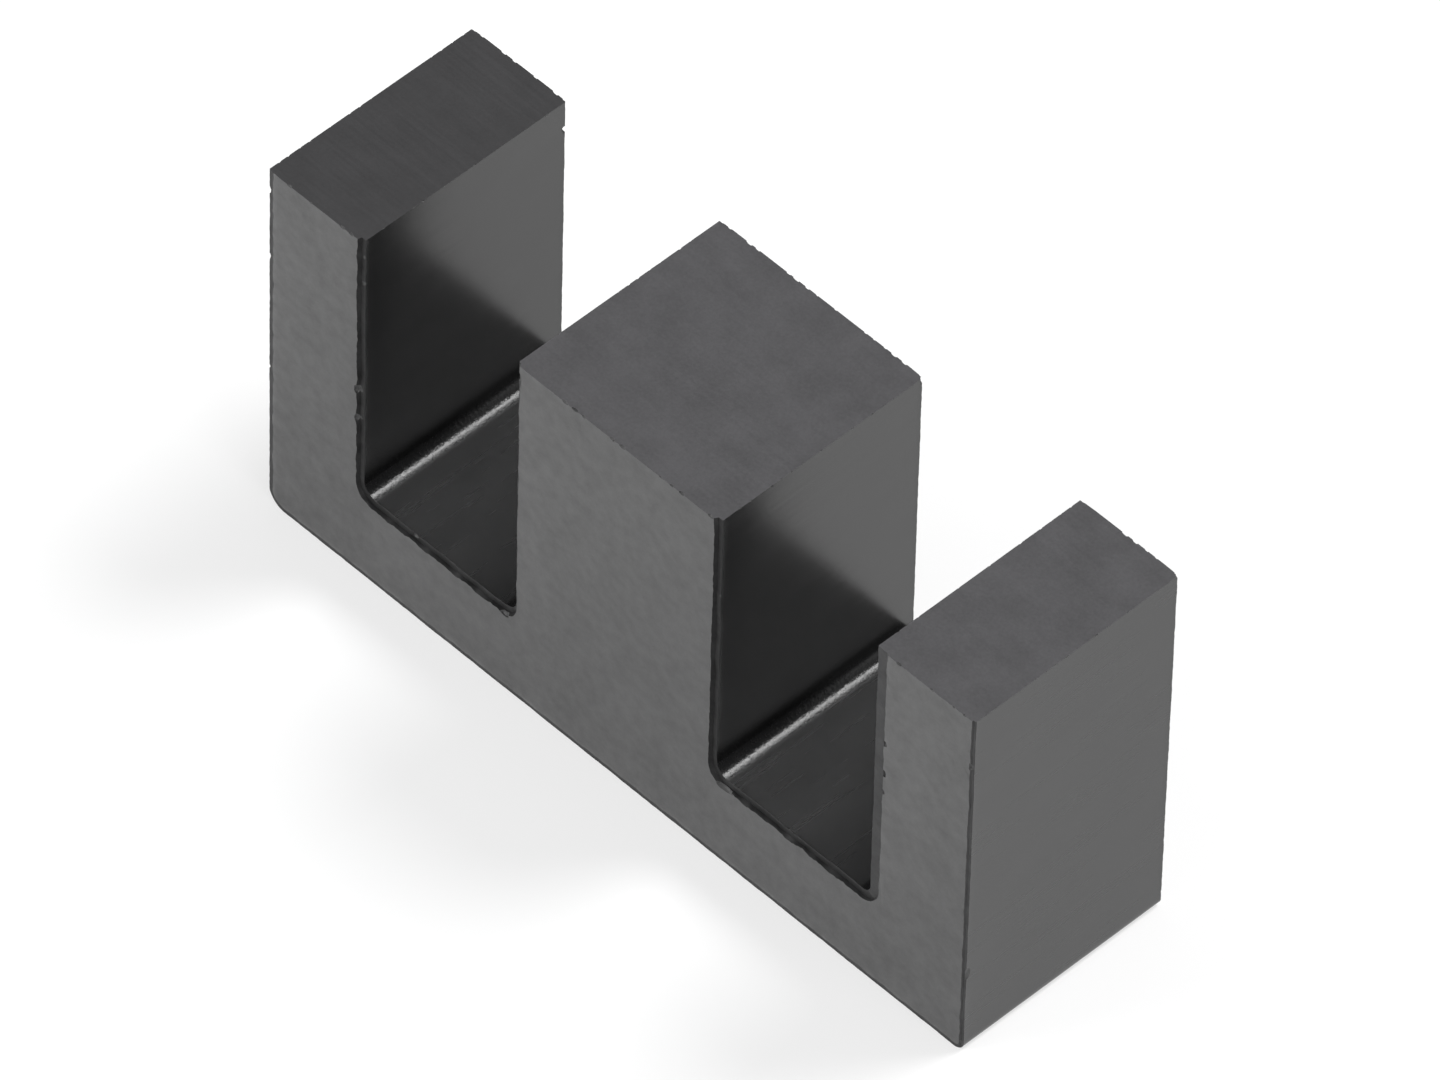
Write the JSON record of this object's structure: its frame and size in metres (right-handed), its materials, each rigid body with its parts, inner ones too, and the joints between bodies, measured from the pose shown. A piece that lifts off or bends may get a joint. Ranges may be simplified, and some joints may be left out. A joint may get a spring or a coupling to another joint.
{
  "type": "ferrite e core",
  "caption": "Dark grey pressed ferrite E core half: flat yoke, broad centre leg, slimmer outer legs and winding windows between, with ground leg ends.",
  "frame": {"origin": "middle of the yoke's back, on the surface that the core stands on", "axes": "+X along the core's length, +Y through its thickness, +Z from the yoke to the leg ends"},
  "size_m": [0.025, 0.007, 0.0124],
  "materials": {
    "ferrite": "matte sintered, ground on the leg ends"
  },
  "bodies": {
    "root": {"e_core": "ferrite"}
  },
  "joints": []
}
